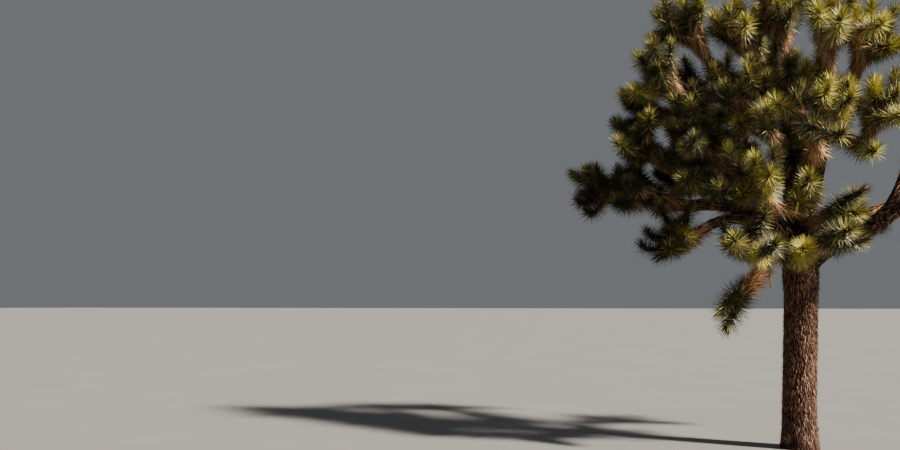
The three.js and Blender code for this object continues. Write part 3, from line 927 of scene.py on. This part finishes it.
def bark_material(name):
    """Bark that is dark in its cracks, partly its own furrow colour and partly painted shade, and paler
    on its plates, with fibres along the limb.
    """
    material, tree, shader = new_material(name, BARK_ROUGHNESS)
    *colours, stretch = BARKS[name]
    relief = tree.nodes.new("ShaderNodeAttribute")
    relief.attribute_name = "relief"
    # Darkest in the cracks by the relief's height: partly the furrows' own colour, partly painted shade
    by_height = coloured_by(tree, relief.outputs["Fac"], list(zip(BARK_HEIGHTS, colours)))
    patches = noise_factor(tree, *BARK_PATCHES)
    patched = multiplied(tree, by_height, coloured_by(tree, patches, PATCH_TINTS))
    fibres = noise_factor(tree, *BARK_FIBRES, stretch)
    colour = multiplied(tree, patched, coloured_by(tree, fibres, FIBRE_TINTS))
    tree.links.new(colour, shader.inputs["Base Color"])
    add_bump(tree, shader, fibres, *BARK_BUMP)
    shader.inputs["Specular IOR Level"].default_value = BARK_SPECULAR
    return material


def make_camera():
    """The photo's camera."""
    camera = new_object("camera", bpy.data.cameras.new("camera"))
    camera.location = (0, -CAMERA_DISTANCE, EYE_HEIGHT)
    camera.rotation_euler = Euler((math.pi / 2 + CAMERA_PITCH, 0, CAMERA_YAW))
    camera.data.lens = CAMERA_LENS
    camera.data.sensor_width = SENSOR_WIDTH
    bpy.context.scene.camera = camera


def make_lights():
    """The lamps and the studio's even light."""
    for name, azimuth, elevation, softness, strength, colour in LIGHTS:
        light = bpy.data.lights.new(name, "SUN")
        light.angle = math.radians(softness)
        light.energy = strength
        light.color = colour
        lamp = new_object(name, light)
        lamp.rotation_euler = Euler((math.radians(90 - elevation), 0, math.radians(azimuth)))
    world = bpy.data.worlds.new("studio")
    world.use_nodes = True
    background = world.node_tree.nodes["Background"]
    background.inputs["Color"].default_value = (*WORLD_COLOUR, 1)
    background.inputs["Strength"].default_value = WORLD_STRENGTH
    bpy.context.scene.world = world


def make_floor():
    """A plain pale floor at ground level."""
    half = FLOOR_SIZE / 2
    corners = [(-half, -half, 0), (half, -half, 0), (half, half, 0), (-half, half, 0)]
    mesh = bpy.data.meshes.new("floor")
    mesh.from_pydata(corners, [], [(0, 1, 2, 3)])
    material, tree, shader = new_material("floor", FLOOR_ROUGHNESS)
    speckled = coloured_by(tree, noise_factor(tree, FLOOR_NOISE), FLOOR_STOPS)
    tree.links.new(speckled, shader.inputs["Base Color"])
    mesh.materials.append(material)
    floor = new_object("floor", mesh)


def make_trunk(trunk):
    """The trunk's bark and its scales, in place of the plain solid."""
    points, faces, heights = bark_tube(trunk, TRUNK_COLUMNS, TRUNK_ROWS, TRUNK_RELIEF)
    made = mesh_object("trunk_bark", points, faces, bark_material("trunk_bark"), heights)
    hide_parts("trunk")
    rng = np.random.default_rng(SCALE_SEED)
    dealt_pieces(trunk_scales(trunk, rng), SCALE_KINDS, SCALE_ROUGHNESS, rng)


def make_boughs(limbs):
    """The boughs' bark, in place of the plain solids."""
    tubes = []
    for name, limb in limbs.items():
        if name != "trunk":
            rows = max(LEAST_BOUGH_ROWS, round(limb.length() / BOUGH_ROW_GAP))
            tubes.append(bark_tube(limb, BOUGH_COLUMNS, rows, BOUGH_RELIEF))
    points, faces, heights = joined_tubes(tubes)
    made = mesh_object("bough_bark", points, faces, bark_material("bough_bark"), heights)
    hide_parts(*[name for name in limbs if name != "trunk"])


def grow_crown(limbs, rng):
    """Each shoot of the crown with its head's values, the coarse ones first."""
    masses = [grow_shoots(row, limbs, seeded(number)) for number, row in enumerate(MASSES, start=1)]
    coarse = [shoot for shoots in masses for shoot in shoots]
    taken = [shoot.at(share) for share in HEAD_PLACES for shoot in coarse]
    finer = []
    for name, low in LEAFY_BOUGHS:
        finer += side_shoots(limbs[name], low, BOUGH_SHOOT_TO, BOUGH_SHOOT_GAP, taken, rng)
    for shoots in masses:
        if len(shoots) >= LEAST_SHOOTS_TO_BRANCH:
            for shoot in shoots:
                finer += side_shoots(shoot, SIDE_SHOOT_FROM, SIDE_SHOOT_TO, SIDE_SHOOT_GAP, taken, rng)
    return [(shoot, *SHOOT_HEAD) for shoot in coarse] + [(shoot, *SIDE_SHOOT_HEAD) for shoot in finer]


def head_tone(tip, rng):
    """How sunlit a head is painted, from 0 to 1: painted light more to the right, above and in front.
    """
    # Painted sunlight from the key light's side, with random tone added below
    lit = TONE + PAINTED_LIGHT_RIGHT * tip[0] + PAINTED_LIGHT_UP * (tip[2] - TONE_LEVEL) - PAINTED_LIGHT_FORWARD * tip[1]
    lit += rng.normal(0, TONE_VARIES)
    # Painted sunlight on the heads that stand in full sun
    if np.linalg.norm(SUNLIT_HEADS - tip, axis=1).min() < SUNLIT_REACH:
        lit += SUNLIT_GAIN
    return min(1, max(0, lit))


def deal(rows, tone, rng):
    """Deals a head's leaves, which run from its foot to its tip, out to the live kinds of painted shade
    and painted sunlight by its tone, darker at the foot and brighter towards the tip.
    """
    foot_to_tip = np.linspace(-TONE_ALONG_HEAD, TONE_ALONG_HEAD, len(rows["root"]))
    drawn = tone + foot_to_tip + rng.normal(0, TONE_OF_LEAF_VARIES, len(foot_to_tip))
    # The tone, with its painted light, picks each leaf's kind from painted shade to painted sunlight
    kind = np.digitize(drawn, LIVE_STEPS)
    # More pale painted highlights where the head's painted light is brighter
    kind = np.where(rng.uniform(0, 1, len(kind)) < PAINTED_HIGHLIGHT_SHARE * tone, len(LIVE_KINDS) - 1, kind)
    return [chosen(rows, kind == k) for k in range(len(LIVE_KINDS))]


def shoot_dry_leaves(shoot, head_length, count, rng):
    """The skirt under a shoot's head, and the thatch along the shoot."""
    start = head_start(shoot, head_length)
    low = max(0, start - SKIRT_LENGTH / shoot.length())
    high = start + (1 - start) * SKIRT_IN_HEAD
    skirt = dry_leaves(shoot, low, high, count, SKIRT_LEAF_LENGTH, SKIRT_LEAN, rng)
    thatch_count = int(THATCH_PER_METRE * shoot.length() * start)
    end = max(THATCH_AT_LEAST_TO, start)
    thatch = dry_leaves(shoot, THATCH_FROM, end, thatch_count, SHOOT_THATCH_LENGTH, THATCH_LEAN, rng)
    return [skirt, thatch]


def grow_leaves(heads, limbs, rng):
    """The live leaves by kind, and the dry leaves."""
    live = [[] for _ in LIVE_KINDS]
    dry = []
    for shoot, head_length, live_count, dry_count, size in heads:
        leaves = live_leaves(shoot, head_length, live_count, size, rng)
        tone = head_tone(shoot.at(1.0), rng)
        for parts, part in zip(live, deal(leaves, tone, rng)):
            parts.append(part)
        dry += shoot_dry_leaves(shoot, head_length, dry_count, rng)
    for name, low, density in THATCHED:
        limb = limbs[name]
        count = int(density * limb.length() * (1 - low))
        dry.append(dry_leaves(limb, low, THATCH_TO, count, BOUGH_THATCH_LENGTH, THATCH_LEAN, rng))
    return [joined(parts) for parts in live], joined(dry)


def make_live_leaves(live, limbs):
    """The live leaves that no limb hides."""
    for (name, colour, roughness), rows in zip(LIVE_KINDS, live):
        rows = chosen(rows, clear_of_limbs(rows, limbs))
        leaf_pieces(name, rows, leaf_material(name, colour, roughness))


def hanging_stalk():
    """The dead stalk that hangs under the fork."""
    start, end = np.array(STALK_ENDS)
    return limb_between(start, -UP, end, 0, BOUGH_FOLLOWS, tapered(*STALK_RADII))


def make_stalk_leaves(stalk, rng):
    """The pale leaves that hang on the dead stalk."""
    name, colour = STALK_LEAF_KIND
    low, lengths, lean = STALK_LEAVES_FROM, STALK_LEAF_LENGTH, STALK_LEAF_LEAN
    rows = dry_leaves(stalk, low, 1, STALK_LEAVES, lengths, lean, rng)
    leaf_pieces(name, rows, leaf_material(name, colour, DRY_ROUGHNESS))


def make_shoots(shoots, stalk):
    """The shoots and the dead stalk, in place of the plain masses."""
    tubes = [bark_tube(shoot, SHOOT_COLUMNS, SHOOT_ROWS, BOUGH_RELIEF) for shoot in shoots]
    tubes.append(bark_tube(stalk, SHOOT_COLUMNS, SHOOT_ROWS, NO_RELIEF))
    points, faces, heights = joined_tubes(tubes)
    twigs = mesh_object("shoots", points, faces, bark_material("shoot_bark"), heights)
    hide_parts(*[row[0] for row in MASSES])


def make_crown(limbs):
    """The shoots, the side shoots and all the leaves."""
    heads = grow_crown(limbs, np.random.default_rng(CROWN_SEED))
    rng = np.random.default_rng(LEAF_SEED)
    live, dry = grow_leaves(heads, limbs, rng)
    make_live_leaves(live, limbs)
    dealt_pieces(dry, DRY_KINDS, DRY_ROUGHNESS, rng)
    stalk = hanging_stalk()
    make_stalk_leaves(stalk, rng)
    make_shoots([shoot for shoot, *_ in heads], stalk)


make_camera()
make_lights()
make_floor()
grown_limbs = grow_limbs()
make_trunk(grown_limbs["trunk"])
make_boughs(grown_limbs)
make_crown(grown_limbs)
